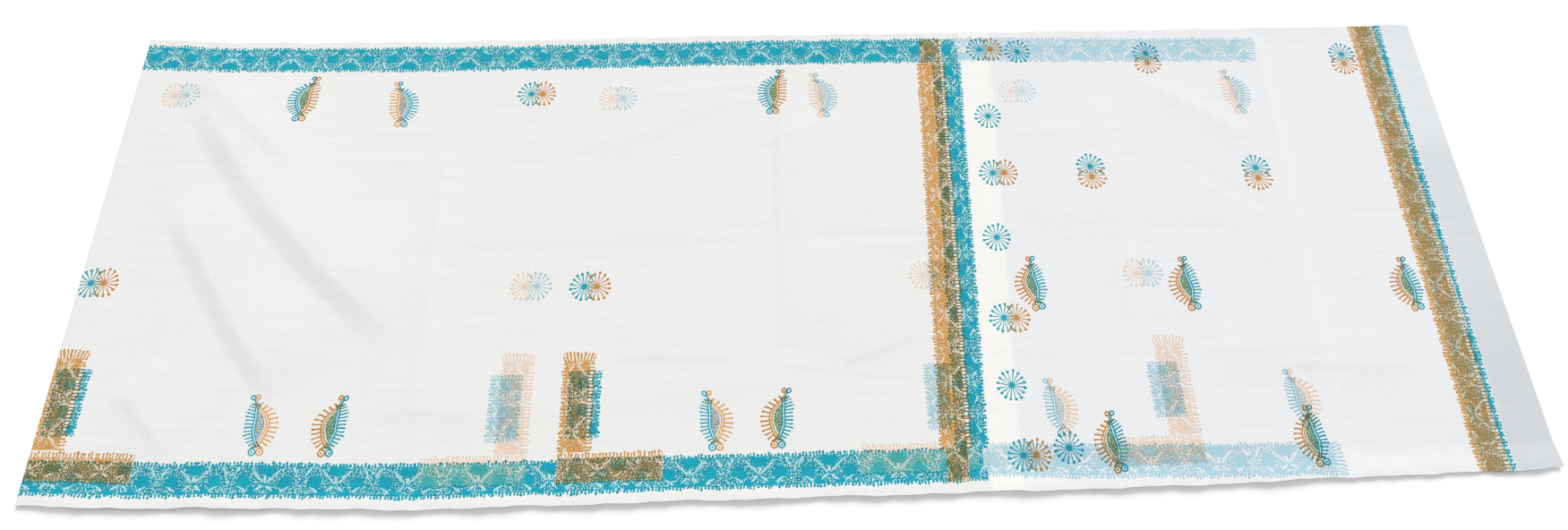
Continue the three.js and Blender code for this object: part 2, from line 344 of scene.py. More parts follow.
# The scattered motifs: (kind, x, y, turn in degrees). Pairs and paisleys have a dye on each side.
# The hidden layer's show through from behind, so they are mirrored, and each row ends with a strength.
PAIR, TEAL_FLOWER, ORANGE_LEFT, ORANGE_RIGHT = 1, 2, 3, 4
MOTIFS = [
    (PAIR, -0.637, 0.402, 0),
    (PAIR, -1.580, -0.069, 0),
    (PAIR, -0.476, -0.101, 0),
    (ORANGE_RIGHT, -1.206, 0.394, 0),
    (ORANGE_RIGHT, -0.054, 0.398, 0),
    (ORANGE_LEFT, -1.011, -0.400, 0),
    (ORANGE_LEFT, -0.060, -0.406, 0),
    (PAIR, 0.494, 0.514, 0),
    (PAIR, 0.488, 0.165, 0),
    (PAIR, 0.471, -0.195, 0),
    (PAIR, 0.476, -0.496, 0),
    (TEAL_FLOWER, 0.577, 0.506, 0),
    (TEAL_FLOWER, 0.480, 0.320, 0),
    (TEAL_FLOWER, 0.464, -0.001, 0),
    (TEAL_FLOWER, 0.456, -0.347, 0),
    (TEAL_FLOWER, 0.562, -0.483, 0),
    (PAIR, 0.908, 0.481, -90),
    (PAIR, 1.421, 0.473, -90),
    (PAIR, 0.713, 0.164, -90),
    (PAIR, 1.118, 0.153, -90),
    (ORANGE_LEFT, 0.527, -0.118, 13),
    (ORANGE_LEFT, 0.883, -0.126, 13),
    (ORANGE_LEFT, 1.401, -0.137, 13),
    (ORANGE_LEFT, 0.653, -0.476, 13),
    (ORANGE_LEFT, 1.089, -0.474, 13),
]
HIDDEN_MOTIFS = [
    (PAIR, -1.507, 0.412, 0, 0.55),
    (PAIR, -0.437, 0.386, 0, 0.52),
    (PAIR, -0.611, -0.098, 0, 0.60),
    (PAIR, 0.296, -0.090, 0, 0.52),
    (PAIR, 0.561, 0.390, 0, 0.40),
    (PAIR, 0.791, -0.096, 0, 0.52),
    (ORANGE_RIGHT, -0.959, 0.377, 0, 1.30),
    (ORANGE_RIGHT, 0.073, 0.385, 0, 0.72),
    (ORANGE_RIGHT, 1.118, 0.378, 0, 0.65),
    (ORANGE_LEFT, -1.154, -0.394, 0, 1.20),
    (ORANGE_LEFT, -0.190, -0.408, 0, 1.25),
    (ORANGE_LEFT, 0.558, -0.398, 0, 0.72),
    (ORANGE_LEFT, 1.094, -0.391, 0, 0.72),
]
MOTIF_REACH = {PAIR: 0.060, TEAL_FLOWER: 0.044, ORANGE_LEFT: 0.088, ORANGE_RIGHT: 0.088}
# What an attribute holds where there is no print.
NOWHERE = (1.0, 1.0, 0.0)
# A motif's strength rides behind its kind, times this, which keeps it under a half.
STRENGTH_SHARE = 0.36
# The dyes' places among the prints.
TEAL, ORANGE = 0, 1

# The camera that took the view, on a cloth lying at the origin, and the stage. Turns are in degrees.
CAMERA_PLACE = (-0.0741, -0.5904, 1.5970)
CAMERA_TURN = (18.50, -0.87, -1.50)
CAMERA_LENS = 16.75
SENSOR_WIDTH = 36.0
FLOOR_REACH = 14.0
FLOOR_BELOW = 0.0002
SUN_WIDTH = 24
SUN_TURN = 162


def smooth(t):
    """Rises softly from 0 at 0 to 1 at 1."""
    t = np.clip(t, 0, 1)
    return t * t * (3 - 2 * t)


def along_table(table, x):
    """A table's value at each x, with soft joins between its rows."""
    places = np.array([row[0] for row in table])
    values = np.array([row[1] for row in table])
    upper = np.clip(np.searchsorted(places, x), 1, len(places) - 1)
    share = (x - places[upper - 1]) / (places[upper] - places[upper - 1])
    return values[upper - 1] + (values[upper] - values[upper - 1]) * smooth(share)


def near_edge(x):
    """The y of the near edge."""
    return EDGE_MIDDLE - WOVEN_WIDTH / 2 - along_table(NEAR_EDGE, x)


def far_edge(x):
    """The y of the far edge."""
    return EDGE_MIDDLE + WOVEN_WIDTH / 2 + along_table(FAR_EDGE, x)


def on_line(line, share):
    """The x of a line across the cloth, at a share of the way from its near edge."""
    return line[0] + line[1] * WOVEN_WIDTH * (share - 0.5)


def from_line(x, y, start, middle, end):
    """Each place's distance from a bent line, share of the way along it, and side of it, 1 or -1."""
    steps = np.linspace(0, 1, FOLD_LINE_PIECES + 1)[:, None]
    line = (1 - steps) ** 2 * start + 2 * steps * (1 - steps) * np.array(middle) + steps**2 * end
    distance = np.full_like(x, np.inf)
    along = np.zeros_like(x)
    side = np.ones_like(x)
    for i, (a, b) in enumerate(zip(line[:-1], line[1:])):
        dx, dy = b - a
        t = np.clip(((x - a[0]) * dx + (y - a[1]) * dy) / (dx * dx + dy * dy), 0, 1)
        away = np.hypot(x - a[0] - t * dx, y - a[1] - t * dy)
        nearer = away < distance
        distance = np.where(nearer, away, distance)
        along = np.where(nearer, (i + t) / FOLD_LINE_PIECES, along)
        side = np.where(nearer, np.sign(dx * (y - a[1]) - dy * (x - a[0])), side)
    return distance, along, side


def fades(along):
    """How a fold dies away towards both ends of its line."""
    return smooth(along / FOLD_FADES_OVER) * smooth((1 - along) / FOLD_FADES_OVER)


def crease_heights(creases, x, y):
    """The summed height of a table of creases at each place."""
    rise = np.zeros_like(x)
    for start, middle, end, half_width, height in creases:
        distance, along, _ = from_line(x, y, start, middle, end)
        rise += height * fades(along) * np.exp(-((distance / half_width) ** 2))
    return rise


def steep_ridges(x, y):
    """The summed height of the ridges that are steep on one side and gentle on the other."""
    rise = np.zeros_like(x)
    for start, middle, end, steep, height in STEEP_RIDGES:
        distance, along, side = from_line(x, y, start, middle, end)
        across = distance * side
        profile = np.clip((across + steep) / (2 * steep), 0, 1)
        profile *= np.exp(-((np.maximum(across - steep, 0) / GENTLE_SIDE) ** 2))
        rise += height * fades(along) * profile
    return rise


def relief(x, y):
    """The height of the swells, folds and creases over the flat stack, sharper than on the solids."""
    rise = crease_heights(FOLDS, x, y) + steep_ridges(x, y)
    for cx, cy, reach_x, reach_y, height in SWELLS:
        rise += height * np.exp(-(((x - cx) / reach_x) ** 2) - ((y - cy) / reach_y) ** 2)
    to_edge = np.minimum(y - near_edge(x), far_edge(x) - y)
    past_fold = smooth((x - LEFT_END) / FOLD_SETTLES)
    keeps = (EDGE_KEEPS + (1 - EDGE_KEEPS) * smooth(to_edge / EDGE_SETTLES)) * past_fold
    keeps *= EDGE_KEEPS + (1 - EDGE_KEEPS) * smooth((RIGHT_END - x) / FREE_END_SETTLES)
    rise *= keeps
    folds = np.maximum(0, (rise + np.hypot(rise, FLOOR_SOFTNESS)) / 2 - FLOOR_SOFTNESS / 2)
    return folds + crease_heights(CREASES, x, y) * past_fold + FINE_LIFT * keeps


def underside(x, y, share):
    """The underside of the upper cloth: over the hidden layer, then down to the surface past its end."""
    past_end = x - on_line(UNDER_END_LINE, share)
    stack = LAYERS_HEIGHT * (1 - smooth(past_end / END_STEP_LENGTH))
    puff = 2 * FOLD_RADIUS - WALL - LAYERS_HEIGHT
    fold_puff = puff * (1 - smooth((x - LEFT_END - FOLD_RADIUS) / FOLD_SETTLES))
    return np.maximum(0, stack + fold_puff + relief(x, y))


class Layer:
    """A stretch of cloth as two grids of points, with where each lies on the woven cloth."""

    def __init__(self, outer, inner, along, from_near):
        self.outer = outer
        self.inner = inner
        self.along = along
        self.from_near = from_near

    def joined(self, other):
        """This stretch with another that carries on from its last column."""
        parts = [(self.outer, other.outer), (self.inner, other.inner)]
        parts += [(self.along, other.along), (self.from_near, other.from_near)]
        return Layer(*[np.concatenate(pair) for pair in parts])


def edge_waves(x, seed):
    """The small unevenness of a woven edge, in metres, the same for the same seed."""
    rng = np.random.default_rng(seed)
    total = np.zeros_like(x)
    for wave_length, height in EDGE_WAVES:
        phase = rng.uniform(0, 2 * math.pi)
        drift = rng.uniform(0.85, 1.15)
        total += height * np.sin(2 * math.pi * x * drift / wave_length + phase)
    return total


def flat_layer(x, share, thickness):
    """The cloth on a grid of places along it and shares of its width."""
    near, far = near_edge(x), far_edge(x)
    y = near + (far - near) * share
    from_near = share * (far - near)
    from_far = (1 - share) * (far - near)
    y += edge_waves(x, 3) * smooth(1 - from_near / EDGE_WAVES_IN)
    y += edge_waves(x, 5) * smooth(1 - from_far / EDGE_WAVES_IN)
    z = underside(x, y, share) + WALL
    for inwards, seed, (reach, rise, wavy) in ((from_near, 7, NEAR_LIFT), (from_far, 8, FAR_LIFT)):
        lift = smooth(1 - inwards / reach) * (rise + wavy * edge_waves(x, seed))
        z += lift * smooth((x - LEFT_END) / FOLD_SETTLES)
    outer = np.stack([x, y, z], -1)
    inner = outer - np.array([0, 0, thickness])
    return Layer(outer, inner, x, share * WOVEN_WIDTH)


def fold_layer(share, thickness):
    """The turn of the cloth round its fold, from the surface up to the top layer."""
    centre_x = LEFT_END + FOLD_RADIUS
    angles = np.linspace(0, math.pi, FOLD_ANGLES)[:-1]
    turns = np.concatenate([[0.0], angles])
    back = np.concatenate([[FOLD_RETURN], np.zeros(len(angles))])
    angle, share_grid = np.meshgrid(turns, share, indexing="ij")
    back_grid = np.meshgrid(back, share, indexing="ij")[0]
    y = near_edge(LEFT_END) + (far_edge(LEFT_END) - near_edge(LEFT_END)) * share_grid
    y += edge_waves(np.full_like(y, LEFT_END), 3) * smooth(1 - share_grid / FOLD_WAVES_IN)

    def ring(radius):
        """The points at that radius from the fold's axis."""
        x = centre_x + back_grid - radius * np.sin(angle)
        return np.stack([x, y, FOLD_RADIUS - radius * np.cos(angle)], -1)

    along = centre_x - FOLD_RADIUS * (math.pi - angle) - back_grid
    return Layer(ring(FOLD_RADIUS), ring(FOLD_RADIUS - thickness), along, share_grid * WOVEN_WIDTH)


def shell_faces(columns, rows):
    """The quads of a closed shell of two grids: outer, inner and rim, and how many come before the rim."""
    index = np.arange(columns * rows).reshape(columns, rows)
    a, b, c, d = index[:-1, :-1], index[1:, :-1], index[1:, 1:], index[:-1, 1:]
    outer = np.stack([a, b, c, d], -1).reshape(-1, 4)
    inner = outer[:, ::-1] + columns * rows
    ring = np.concatenate([index[:-1, 0], index[-1, :-1], index[:0:-1, -1], index[0, :0:-1]])
    after = np.roll(ring, -1)
    below = columns * rows
    rim = np.stack([ring, ring + below, after + below, after], -1)
    return np.concatenate([outer, inner, rim]), len(outer) + len(inner)


def rim_edges(mesh, columns, rows):
    """Whether each edge runs along the rim of one of a shell's two grids, where its shading breaks."""
    border = np.ones((2, columns, rows), bool)
    border[:, 1:-1, 1:-1] = False
    ends = np.empty(len(mesh.edges) * 2, np.int32)
    mesh.edges.foreach_get("vertices", ends)
    ends = ends.reshape(-1, 2)
    same_grid = (ends[:, 0] < columns * rows) == (ends[:, 1] < columns * rows)
    return border.ravel()[ends].all(1) & same_grid


class BandPrint:
    """Where each face corner of a stretch lies on the printed bands, and how strong each dye is there."""

    def __init__(self, x, from_near):
        self.x = x
        self.from_near = from_near
        self.from_far = WOVEN_WIDTH - from_near
        self.face_x = x.mean(1)
        self.face_y = from_near.mean(1)
        self.places = [np.tile(NOWHERE, (*x.shape, 1)).astype(np.float32) for _ in (TEAL, ORANGE)]
        self.strength = np.zeros((*x.shape, 3), np.float32)

    def across(self, line):
        """How far each corner lies past a line across the cloth."""
        return self.x - line[0] - line[1] * (self.from_near - WOVEN_WIDTH / 2)

    def before(self, line):
        """Whether each face lies before a line across the cloth."""
        return self.face_x < line[0] + line[1] * (self.face_y - WOVEN_WIDTH / 2)

    def lay(self, dye, chosen, along, across, inside, strength):
        """Puts a band of one dye on the chosen faces: along it, across it, and how far inside its ends."""
        for part, values in enumerate((along, across, inside)):
            self.places[dye][chosen, :, part] = values[chosen]
        self.strength[chosen, :, dye] = strength


def print_borders(bands, upper):
    """The upper layer's borders as far as its cross band, and the hidden one's past that, or all along."""
    reach = BAND_HALF + BORDER_SPARE
    before_cross = bands.before(CROSS_TEAL)
    if upper:
        for inwards, place, phase in (
            (bands.from_near, NEAR_BORDER, NEAR_PHASE),
            (bands.from_far, FAR_BORDER, FAR_PHASE),
        ):
            chosen = (np.abs(inwards.mean(1) - place) < reach) & before_cross
            bands.lay(TEAL, chosen, bands.x - phase, inwards - place, np.ones_like(bands.x), 1.0)
    shows = bands.before(UNDER_END_LINE)
    if upper:
        shows &= ~before_cross
    for inwards, (place, slope) in (
        (bands.from_near, HIDDEN_NEAR_BORDER),
        (bands.from_far, HIDDEN_FAR_BORDER),
    ):
        across = inwards - place - slope * bands.x
        chosen = shows & (np.abs(across.mean(1)) < reach)
        strength = HIDDEN_TEAL if upper else 1.0
        bands.lay(TEAL, chosen, bands.x, across, -bands.across(UNDER_END_LINE), strength)


def carried_rows(rows, upper):
    """All the rows on the upper layer, and on the hidden one its own at full strength."""
    return rows if upper else [(*row[:-1], 1.0) for row in rows if row[-1] < 1.0]


def print_corner_blocks(bands, upper):
    """The corner blocks: a teal strip over each orange leg, and an orange foot on the border."""
    x, y = bands.x, bands.from_near
    for leg_x, half, lower, top, strength in carried_rows(LEG_STRIPS, upper):
        chosen = np.abs(bands.face_x - leg_x) < half + BLOCK_SPARE
        chosen &= (bands.face_y > lower - STRIP_SPARE) & (bands.face_y < top + STRIP_SPARE)
        inside = np.minimum(y - lower, top - y) * SHORT_END
        bands.lay(TEAL, chosen, y, x - leg_x, inside, strength)
    for leg_x, half, top, foot_end, foot_y, strength in carried_rows(CORNER_BLOCKS, upper):
        side = math.copysign(1, foot_end - leg_x)
        on_leg = (np.abs(bands.face_x - leg_x) < half + BLOCK_SPARE) & (bands.face_y < top + BORDER_SPARE)
        on_leg &= bands.face_y > foot_y + BAND_HALF
        bands.lay(ORANGE, on_leg, y, x - leg_x, top - y, strength)
        on_foot = np.abs(bands.face_y - foot_y) < BAND_HALF + BLOCK_SPARE
        on_foot &= (foot_end - bands.face_x) * side > -BORDER_SPARE
        on_foot &= (bands.face_x - leg_x) * side > -half - HEEL_SPARE
        inside = np.minimum((foot_end - x) * side, (x - leg_x) * side + half) * PLAIN_END
        bands.lay(ORANGE, on_foot & ~on_leg, x, (y - foot_y) * FOOT_SQUEEZE, inside, strength)


def print_cross_bands(bands):
    """The bands across the upper layer: the cross band, cut off at the borders, and the end band."""
    for line, dye, phase, opens in (
        (CROSS_TEAL, TEAL, CROSS_PHASE, -1),
        (END_TEAL, TEAL, END_PHASE, -1),
        (CROSS_ORANGE, ORANGE, CROSS_PHASE, 1),
        (END_ORANGE, ORANGE, END_PHASE, 1),
    ):
        across = bands.across(line)
        off_middle = np.abs(across.mean(1))
        chosen = off_middle < BAND_HALF + CROSS_SPARE
        inside = np.ones_like(bands.x)
        if line in (CROSS_TEAL, CROSS_ORANGE):
            past_border = np.minimum(bands.from_near - NEAR_BORDER, bands.from_far - FAR_BORDER)
            on_border = past_border.mean(1) < BAND_HALF
            chosen &= ~(on_border & (off_middle > BAND_HALF - BORDER_KEEPS))
            inside = (past_border + BAND_HALF) * PLAIN_END
        strength = np.ones(len(bands.face_x))
        if line == END_TEAL:
            strength[np.abs(bands.across(END_ORANGE).mean(1)) < BAND_HALF] = END_TEAL_COVERED
        bands.lay(dye, chosen, bands.from_near - phase, across * opens, inside, strength[chosen, None])


def print_bands(x, from_near, upper):
    """The band attributes of every face corner of a stretch of cloth."""
    bands = BandPrint(x, from_near)
    print_borders(bands, upper)
    print_corner_blocks(bands, upper)
    if upper:
        print_cross_bands(bands)
    teal, orange = bands.places
    return {"teal_band": teal, "orange_band": orange, "band_strength": bands.strength}


def print_motifs(x, y, motifs, mirror):
    """Each face corner's place on the nearest motif's block, and the motif's kind plus its strength."""
    values = np.tile(NOWHERE, (*x.shape, 1)).astype(np.float32)
    face_x, face_y = x.mean(1), y.mean(1)
    nearest = np.ones(len(x))
    for kind, middle_x, middle_y, turn, *faded in motifs:
        strength = faded[0] if faded else 1.0
        apart = np.hypot(face_x - middle_x, face_y - middle_y) / MOTIF_REACH[kind]
        chosen = (apart < 1) & (apart < nearest)
        nearest[chosen] = apart[chosen]
        angle = math.radians(turn)
        dx, dy = x[chosen] - middle_x, y[chosen] - middle_y
        values[chosen, :, 0] = (dx * math.cos(angle) + dy * math.sin(angle)) * mirror
        values[chosen, :, 1] = dy * math.cos(angle) - dx * math.sin(angle)
        values[chosen, :, 2] = kind + strength * STRENGTH_SHARE
    return values


def cloth_object(name, layer, upper, material):
    """A closed shell of cloth with its print's attributes on it."""
    columns, rows = layer.along.shape
    faces, smooth_faces = shell_faces(columns, rows)
    points = np.concatenate([layer.outer.reshape(-1, 3), layer.inner.reshape(-1, 3)])
    mesh = bpy.data.meshes.new(name)
    mesh.from_pydata(points.tolist(), [], faces.tolist())
    mesh.update()
    along = np.tile(layer.along.ravel(), 2)[faces]
    from_near = np.tile(layer.from_near.ravel(), 2)[faces]
    y = points[:, 1][faces]
    attributes = print_bands(along, from_near, upper)
    if upper:
        attributes["motif"] = print_motifs(along, y, MOTIFS, 1)
        attributes["hidden_motif"] = print_motifs(along, y, HIDDEN_MOTIFS, -1)
    else:
        attributes["motif"] = print_motifs(along, y, [motif[:4] for motif in HIDDEN_MOTIFS], -1)
        attributes["hidden_motif"] = print_motifs(along, y, [], -1)
    for key, values in attributes.items():
        attribute = mesh.attributes.new(key, "FLOAT_VECTOR", "CORNER")
        attribute.data.foreach_set("vector", np.ascontiguousarray(values, np.float32).ravel())
    uv = mesh.uv_layers.new(name="cloth")
    uv.data.foreach_set("uv", np.stack([along, from_near], -1).astype(np.float32).ravel())
    mesh.polygons.foreach_set("use_smooth", np.arange(len(faces)) < smooth_faces)
    mesh.edges.foreach_set("use_edge_sharp", rim_edges(mesh, columns, rows))
    mesh.materials.append(material)
    piece = bpy.data.objects.new(name, mesh)
    bpy.context.scene.collection.objects.link(piece)
    return piece


class Sum:
    """A number in a material's nodes, written in plain sums."""

    def __init__(self, nodes, socket):
        self.nodes = nodes
        self.socket = socket

    def maths(self, operation, *others):
        """A Math node on this number and others."""
        return self.nodes.add("ShaderNodeMath", {"operation": operation}, [self, *others])

    def __add__(self, other):
        return self.maths("ADD", other)

    def __sub__(self, other):
        return self.maths("SUBTRACT", other)

    def __mul__(self, other):
        return self.maths("MULTIPLY", other)

    def __truediv__(self, other):
        return self.maths("DIVIDE", other)

    def __radd__(self, other):
        return self.maths("ADD", other)

    def __rmul__(self, other):
        return self.maths("MULTIPLY", other)

    def __rsub__(self, other):
        return self.nodes.add("ShaderNodeMath", {"operation": "SUBTRACT"}, [other, self])

    def __rtruediv__(self, other):
        return self.nodes.add("ShaderNodeMath", {"operation": "DIVIDE"}, [other, self])

    def __lt__(self, other):
        return self.maths("LESS_THAN", other)

    def __gt__(self, other):
        return self.maths("GREATER_THAN", other)

    def __abs__(self):
        return self.maths("ABSOLUTE")

    def __pow__(self, other):
        return self.maths("POWER", other)


class Nodes:
    """A material's node tree, with one way of adding any node."""

    def __init__(self, name):
        self.material = bpy.data.materials.new(name)
        self.material.use_nodes = True
        self.tree = self.material.node_tree
        self.tree.nodes.clear()

    def add(self, kind, settings, values=(), output=0):
        """A node of that kind with its settings made first, and its sockets' values or links."""
        node = self.tree.nodes.new(kind)
        for key, value in settings.items():
            setattr(node, key, value)
        pairs = values.items() if isinstance(values, dict) else enumerate(values)
        for socket, value in pairs:
            if isinstance(value, Sum):
                self.tree.links.new(value.socket, node.inputs[socket])
            else:
                node.inputs[socket].default_value = value
        return Sum(self, node.outputs[output])

    def attribute(self, name):
        """The three numbers of a vector attribute."""
        vector = self.add("ShaderNodeAttribute", {"attribute_name": name}, output="Vector")
        return self.parts(vector)

    def parts(self, vector):
        """The three numbers of a vector or a colour."""
        node = self.add("ShaderNodeSeparateXYZ", {}, [vector]).socket.node
        return [Sum(self, node.outputs[k]) for k in range(3)]

    def vector(self, x, y, z=0.0):
        """A vector of three numbers."""
        return self.add("ShaderNodeCombineXYZ", {}, [x, y, z])

    def ramp(self, value, low, high):
        """Rises softly from 0 where value is low to 1 where it is high, or falls if low is the larger."""
        return self.add(
            "ShaderNodeMapRange",
            {"interpolation_type": "SMOOTHSTEP"},
            {"Value": value, "From Min": low, "From Max": high, "To Min": 0.0, "To Max": 1.0},
        )

    def mix(self, share, first, second):
        """The colour that goes from first to second as share goes from 0 to 1."""
        return self.add(
            "ShaderNodeMix",
            {"data_type": "RGBA", "blend_type": "MIX"},
            {0: share, 6: first, 7: second},
            output=2,
        )

    def dyed(self, cloth, dye, share):
        """The cloth's colour seen through that share of a dye, which is deeper where it is thick."""
        thin = self.vector(*[part**share for part in self.parts(dye)])
        return self.add("ShaderNodeVectorMath", {"operation": "MULTIPLY"}, [cloth, thin])

    def noise(self, vector, scale, detail, output=0):
        """Soft random clouds, as many of them a metre as the scale."""
        values = {"Vector": vector, "Scale": scale, "Detail": detail}
        return self.add("ShaderNodeTexNoise", {"noise_dimensions": "2D"}, values, output)

    def length(self, x, y):
        """The length of a flat vector."""
        return self.add("ShaderNodeVectorMath", {"operation": "LENGTH"}, [self.vector(x, y)], "Value")

    def random(self, index):
        """A number from 0 to 1 that is the same wherever the index is."""
        return self.add("ShaderNodeTexWhiteNoise", {"noise_dimensions": "1D"}, {"W": index}, "Value")

    def dots(self, x, y, size, randomness):
        """Distance from the nearest of many scattered dots, in their own spacing, and that dot's place."""
        values = {"Vector": self.vector(x, y), "Scale": 1 / size, "Randomness": randomness}
        node = self.add("ShaderNodeTexVoronoi", {"voronoi_dimensions": "2D"}, values).socket.node
        dot_x, dot_y, _ = self.parts(Sum(self, node.outputs["Position"]))
        return Sum(self, node.outputs["Distance"]), dot_x, dot_y

    def finish(self, shader):
        """The material with that shader as its surface."""
        output = self.tree.nodes.new("ShaderNodeOutputMaterial")
        self.tree.links.new(shader.socket, output.inputs["Surface"])
        return self.material


def either(first, second):
    """The larger of two numbers: where either of two inks lies."""
    return first.maths("MAXIMUM", second)


def both(first, second):
    """The smaller of two numbers: where both of two inks lie."""
    return first.maths("MINIMUM", second)


def hand_cut(n, x, y, amount, size):
    """The place moved a little at random, as a hand-cut block's lines stray."""
    noise = n.noise(n.vector(x, y), 1 / size, 1.0, "Color")
    stray_x, stray_y, _ = n.parts(noise)
    return x + (stray_x - 0.5) * amount, y + (stray_y - 0.5) * amount


def flower_ink(n, x, y):
    """A round flower of looped spokes, which reach unevenly far, round a dark heart with a pale eye."""
    r = n.length(x, y)
    turn = y.maths("ARCTAN2", x) * (FLOWER_SPOKES / (2 * math.pi)) + COUNT_FROM
    reach = n.random(turn.maths("FLOOR")) * SPOKE_VARIES + SPOKE_REACH
    aside = abs((turn.maths("FRACT") - 0.5) * (r * (2 * math.pi / FLOWER_SPOKES)))
    width = n.ramp(r, 0.006, 0.030) * 0.0006 + 0.0007
    stem = both(n.ramp(aside - width, 0.0004, -0.0004), n.ramp(r - reach, *SPOKE_END))
    loop = n.length(aside, r - reach - LOOP_OUT)
    loop = n.ramp(abs(loop - SPOKE_LOOP), SPOKE_LOOP, 0.0010)
    eye = n.ramp(abs(r - HEART_EYE), 0.0001, 0.0010) * 0.5 + 0.5
    heart = both(n.ramp(r, 0.0078, 0.0050), eye)
    return either(heart, both(either(stem, loop), n.ramp(r, 0.0036, 0.0052)))


def arc_places(n, x, y, side, bulge):
    """Distance out from a paisley's arc, distance along it from its middle, and its radius."""
    radius = (PAISLEY_HALF * PAISLEY_HALF + bulge * bulge) / (2 * bulge)
    from_centre = x * side + (radius - bulge)
    outward = n.length(from_centre, y) - radius
    return outward, y.maths("ARCTAN2", from_centre) * radius, radius


def paisley_side(n, x, y, side, bulge, wide, longest):
    """The double line of one side of a paisley with its lashes, and the distance out from that side."""
    outward, along, radius = arc_places(n, x, y, side, bulge)
    pitch = wide * LASH_PITCH_WIDE + LASH_PITCH
    place = along / pitch + COUNT_FROM
    aside = abs((place.maths("FRACT") - 0.5) * ((outward / radius + 1.0) * pitch))
    share = both(abs(along) / (PAISLEY_HALF * LASHES_PAST), 1.0)
    reach = (1.0 - share * share) * longest + LASH_SHORTEST
    reach = reach + n.random(place.maths("FLOOR")) * LASH_VARIES
    stem = both(n.ramp(aside, *LASH_STROKE), n.ramp(outward - reach, 0.0, -0.0010))
    head_size = wide * LASH_HEAD_WIDE + LASH_HEAD
    head = n.length(aside, outward - reach - head_size * 0.9)
    head = n.ramp(head, head_size + 0.0013, head_size + 0.0006)
    lashes = both(either(stem, head), n.ramp(outward, 0.0012, 0.0022))
    lashes = both(lashes, n.ramp(abs(along) - PAISLEY_HALF * LASHES_PAST, 0.001, 0.0))
    lines = either(n.ramp(abs(outward), *OUTER_LINE), n.ramp(abs(outward + INNER_LINE_IN), *INNER_LINE))
    lines = both(lines, n.ramp(abs(y), PAISLEY_HALF + 0.003, PAISLEY_HALF))
    return either(lashes, lines), outward


def curl_ink(n, x, y, middle_x, middle_y, radius, dot):
    """A curled end as a ring, with a dot in it where it has one."""
    away = n.length(x - middle_x, y - middle_y)
    curl = n.ramp(abs(away - radius), *CURL_STROKE)
    return either(curl, n.ramp(away, dot + 0.0006, dot - 0.0004)) if dot else curl


def paisley_ink(n, x, y, swapped):
    """A leaning paisley's left side, right side and inner leaf, with a tail, and curls at both ends."""
    lean = n.ramp(y, 0.004, 0.066) * 0.017 - n.ramp(y, -0.010, -0.066) * 0.004
    x = x - lean - PAISLEY_OFFSET
    left, left_out = paisley_side(n, x, y, -1.0, PAISLEY_BULGE_LEFT, 1.0 - swapped, LASH_LEFT)
    right, right_out = paisley_side(n, x, y, 1.0, PAISLEY_BULGE_RIGHT, swapped, LASH_RIGHT)
    inside = n.ramp(either(left_out + LEAF_IN_LEFT, right_out + LEAF_IN_RIGHT), 0.0, -0.0012)
    dots = n.dots(x, y, LEAF_DOT, 0.65)[0]
    filling = both(inside, n.ramp(dots, 0.55, 0.30) * 0.60 + 0.15)
    tail = n.ramp(abs(abs(x) - 0.0022), *TAIL_STROKE)
    tail = both(tail, n.ramp(abs(y - 0.0500), 0.0105, 0.0090))
    left_side = n.ramp(x, 0.0015, -0.0015)
    curls = [curl_ink(n, x, y, *row) for row in CURLS]
    left = reduce(either, [left, both(tail, left_side), *curls[:2]])
    right = reduce(either, [right, both(tail, 1.0 - left_side), *curls[2:]])
    return both(left, n.ramp(x, 0.0100, 0.0080)), both(right, n.ramp(x, -0.0100, -0.0080)), filling


def motif_inks(n, name):
    """The teal and orange of the scattered motifs under one attribute."""
    x, y, kind = n.attribute(name)
    x, y = hand_cut(n, x, y, *MOTIF_STRAYS)
    strength = kind.maths("FRACT") / STRENGTH_SHARE
    pair = both(kind > PAIR - 0.5, kind < PAIR + 0.5)
    single = both(kind > TEAL_FLOWER - 0.5, kind < TEAL_FLOWER + 0.5)
    leaf = kind > ORANGE_LEFT - 0.5
    swapped = kind > ORANGE_RIGHT - 0.5
    teal = flower_ink(n, x + pair * PAIR_APART, y)
    orange = flower_ink(n, x - PAIR_APART, y)
    teal = teal * either(pair * n.ramp(x, 0.0080, 0.0020), single)
    orange = orange * pair * n.ramp(x, -0.0080, -0.0020)
    left, right, filling = paisley_ink(n, x, y, swapped)
    leaf_orange = left + (right - left) * swapped
    leaf_teal = right + (left - right) * swapped
    teal = either(teal, leaf * either(leaf_teal, filling * 0.8))
    orange = either(orange, leaf * either(leaf_orange, filling))
    return teal * strength, orange * strength


def petal(n, x, y, centre_x, centre_y, reach_x, reach_y):
    """1 inside an oval, falling softly to 0 at its rim."""
    away = n.length((x - centre_x) / reach_x, (y - centre_y) / reach_y)
    return n.ramp(away, 1.12, 0.80)


def vein(n, x, y, start, turn, length, half_width):
    """A pale leaf of two lines from a start, rising outwards at a turn in degrees."""
    cos, sin = math.cos(math.radians(turn)), math.sin(math.radians(turn))
    dx, dy = x - start[0], y - start[1]
    along = dx * cos + dy * sin
    aside = abs(dy * cos - dx * sin)
    swell = (1.0 - abs(along / (length / 2) - 1.0)) * half_width
    line = n.ramp(abs(aside - either(swell, 0.0)), *VEIN_STROKE)
    return both(line, n.ramp(abs(along - length / 2 - 0.002) - length / 2, 0.0002, -0.0022))


